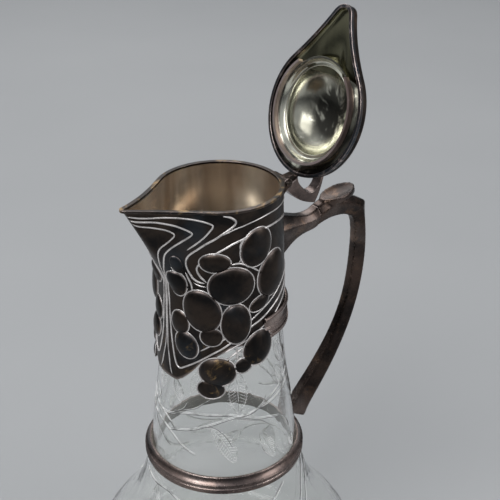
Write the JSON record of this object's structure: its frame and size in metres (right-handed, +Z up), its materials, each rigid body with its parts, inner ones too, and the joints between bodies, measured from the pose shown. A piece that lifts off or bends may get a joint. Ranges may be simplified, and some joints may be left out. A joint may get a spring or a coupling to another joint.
{
  "type": "claret jug",
  "caption": "Glass claret jug with a cast metal neck mount, spout, strap handle, waist collar and a hinged domed lid.",
  "frame": {"origin": "centre of the flat base, on the neck's axis", "axes": "+Z up, +X from the neck's axis to the handle, -X to the spout, +Y across"},
  "size_m": [0.184, 0.162, 0.3549],
  "materials": {
    "glass": "polished",
    "mount_metal": "tarnished silver plate",
    "lining_metal": "polished silver plate",
    "cement": "matte"
  },
  "bodies": {
    "jug": {"glass_body": "glass", "neck_mount": "mount_metal", "mouth_lining": "lining_metal", "mouth_rim_wire": "mount_metal", "neck_cement": "cement", "mount_belt": "mount_metal", "waist_collar": "mount_metal", "collar_cement": "cement", "handle_bracket": "mount_metal", "handle_grip": "mount_metal", "hinge_bracket": "mount_metal", "hinge_pin": "mount_metal"},
    "lid": {"lid_shell": "mount_metal", "lid_lining": "lining_metal", "lid_rim_wire": "mount_metal", "lid_bezel": "lining_metal", "lid_knuckle": "mount_metal", "thumb_piece": "mount_metal"}
  },
  "joints": [
    {"name": "lid_hinge", "type": "hinge", "parent": "jug", "child": "lid", "pos_m": [0.041, 0, 0.2642], "axis": [0, 1, 0], "range_deg": [-109, 0]}
  ]
}
